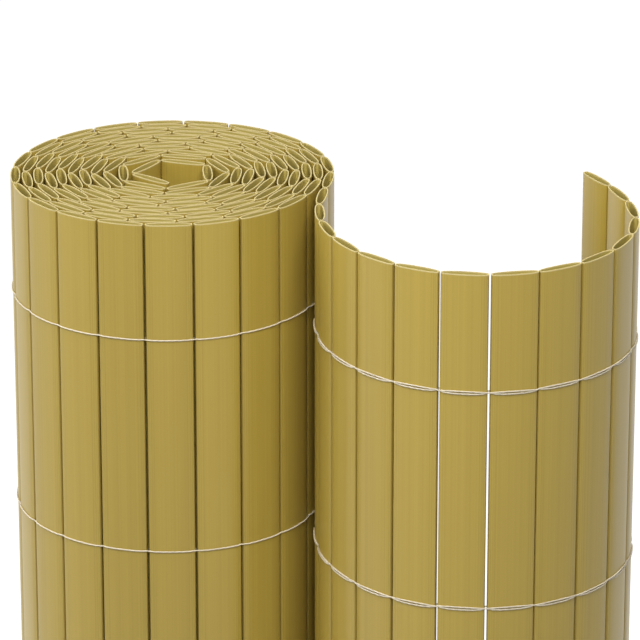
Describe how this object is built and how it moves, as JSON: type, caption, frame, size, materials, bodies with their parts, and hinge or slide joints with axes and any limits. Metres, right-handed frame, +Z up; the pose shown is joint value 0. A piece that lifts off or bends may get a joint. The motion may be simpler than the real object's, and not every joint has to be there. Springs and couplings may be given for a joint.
{
  "type": "pvc screening mat",
  "caption": "Screening mat of hollow lens-section plastic slats laced side by side with twine, stood on end, mostly rolled up with one end unrolled in a bow.",
  "frame": {"origin": "middle of the standing mat's box, at its lower edge", "axes": "+Z up along the slats, +X from the roll towards the free end, +Y to the side the free end's bow opens to"},
  "size_m": [0.2333, 0.1722, 1],
  "materials": {
    "pvc": "satin extruded PVC, bamboo gold",
    "twine": "twisted nylon twine, off-white"
  },
  "bodies": {
    "root": {"free_slat_01": "pvc", "free_slat_02": "pvc", "free_slat_03": "pvc", "free_slat_04": "pvc", "free_slat_05": "pvc", "free_slat_06": "pvc", "free_slat_07": "pvc", "free_slat_08": "pvc", "free_slat_09": "pvc", "free_slat_10": "pvc", "free_slat_11": "pvc", "free_slat_12": "pvc", "free_slat_13": "pvc", "free_slat_14": "pvc", "free_slat_15": "pvc", "free_slat_16": "pvc", "roll_turn_01": "pvc", "roll_turn_02": "pvc", "roll_turn_03": "pvc", "roll_turn_04": "pvc", "roll_turn_05": "pvc", "roll_turn_06": "pvc", "roll_turn_07": "pvc", "roll_turn_08": "pvc", "roll_turn_09": "pvc", "roll_turn_10": "pvc", "twine_row_01": "twine", "twine_row_02": "twine", "twine_row_03": "twine", "twine_row_04": "twine", "twine_row_05": "twine", "twine_row_06": "twine", "twine_row_07": "twine", "twine_row_08": "twine", "twine_row_09": "twine", "twine_row_10": "twine", "twine_row_11": "twine", "twine_row_12": "twine"}
  },
  "joints": []
}
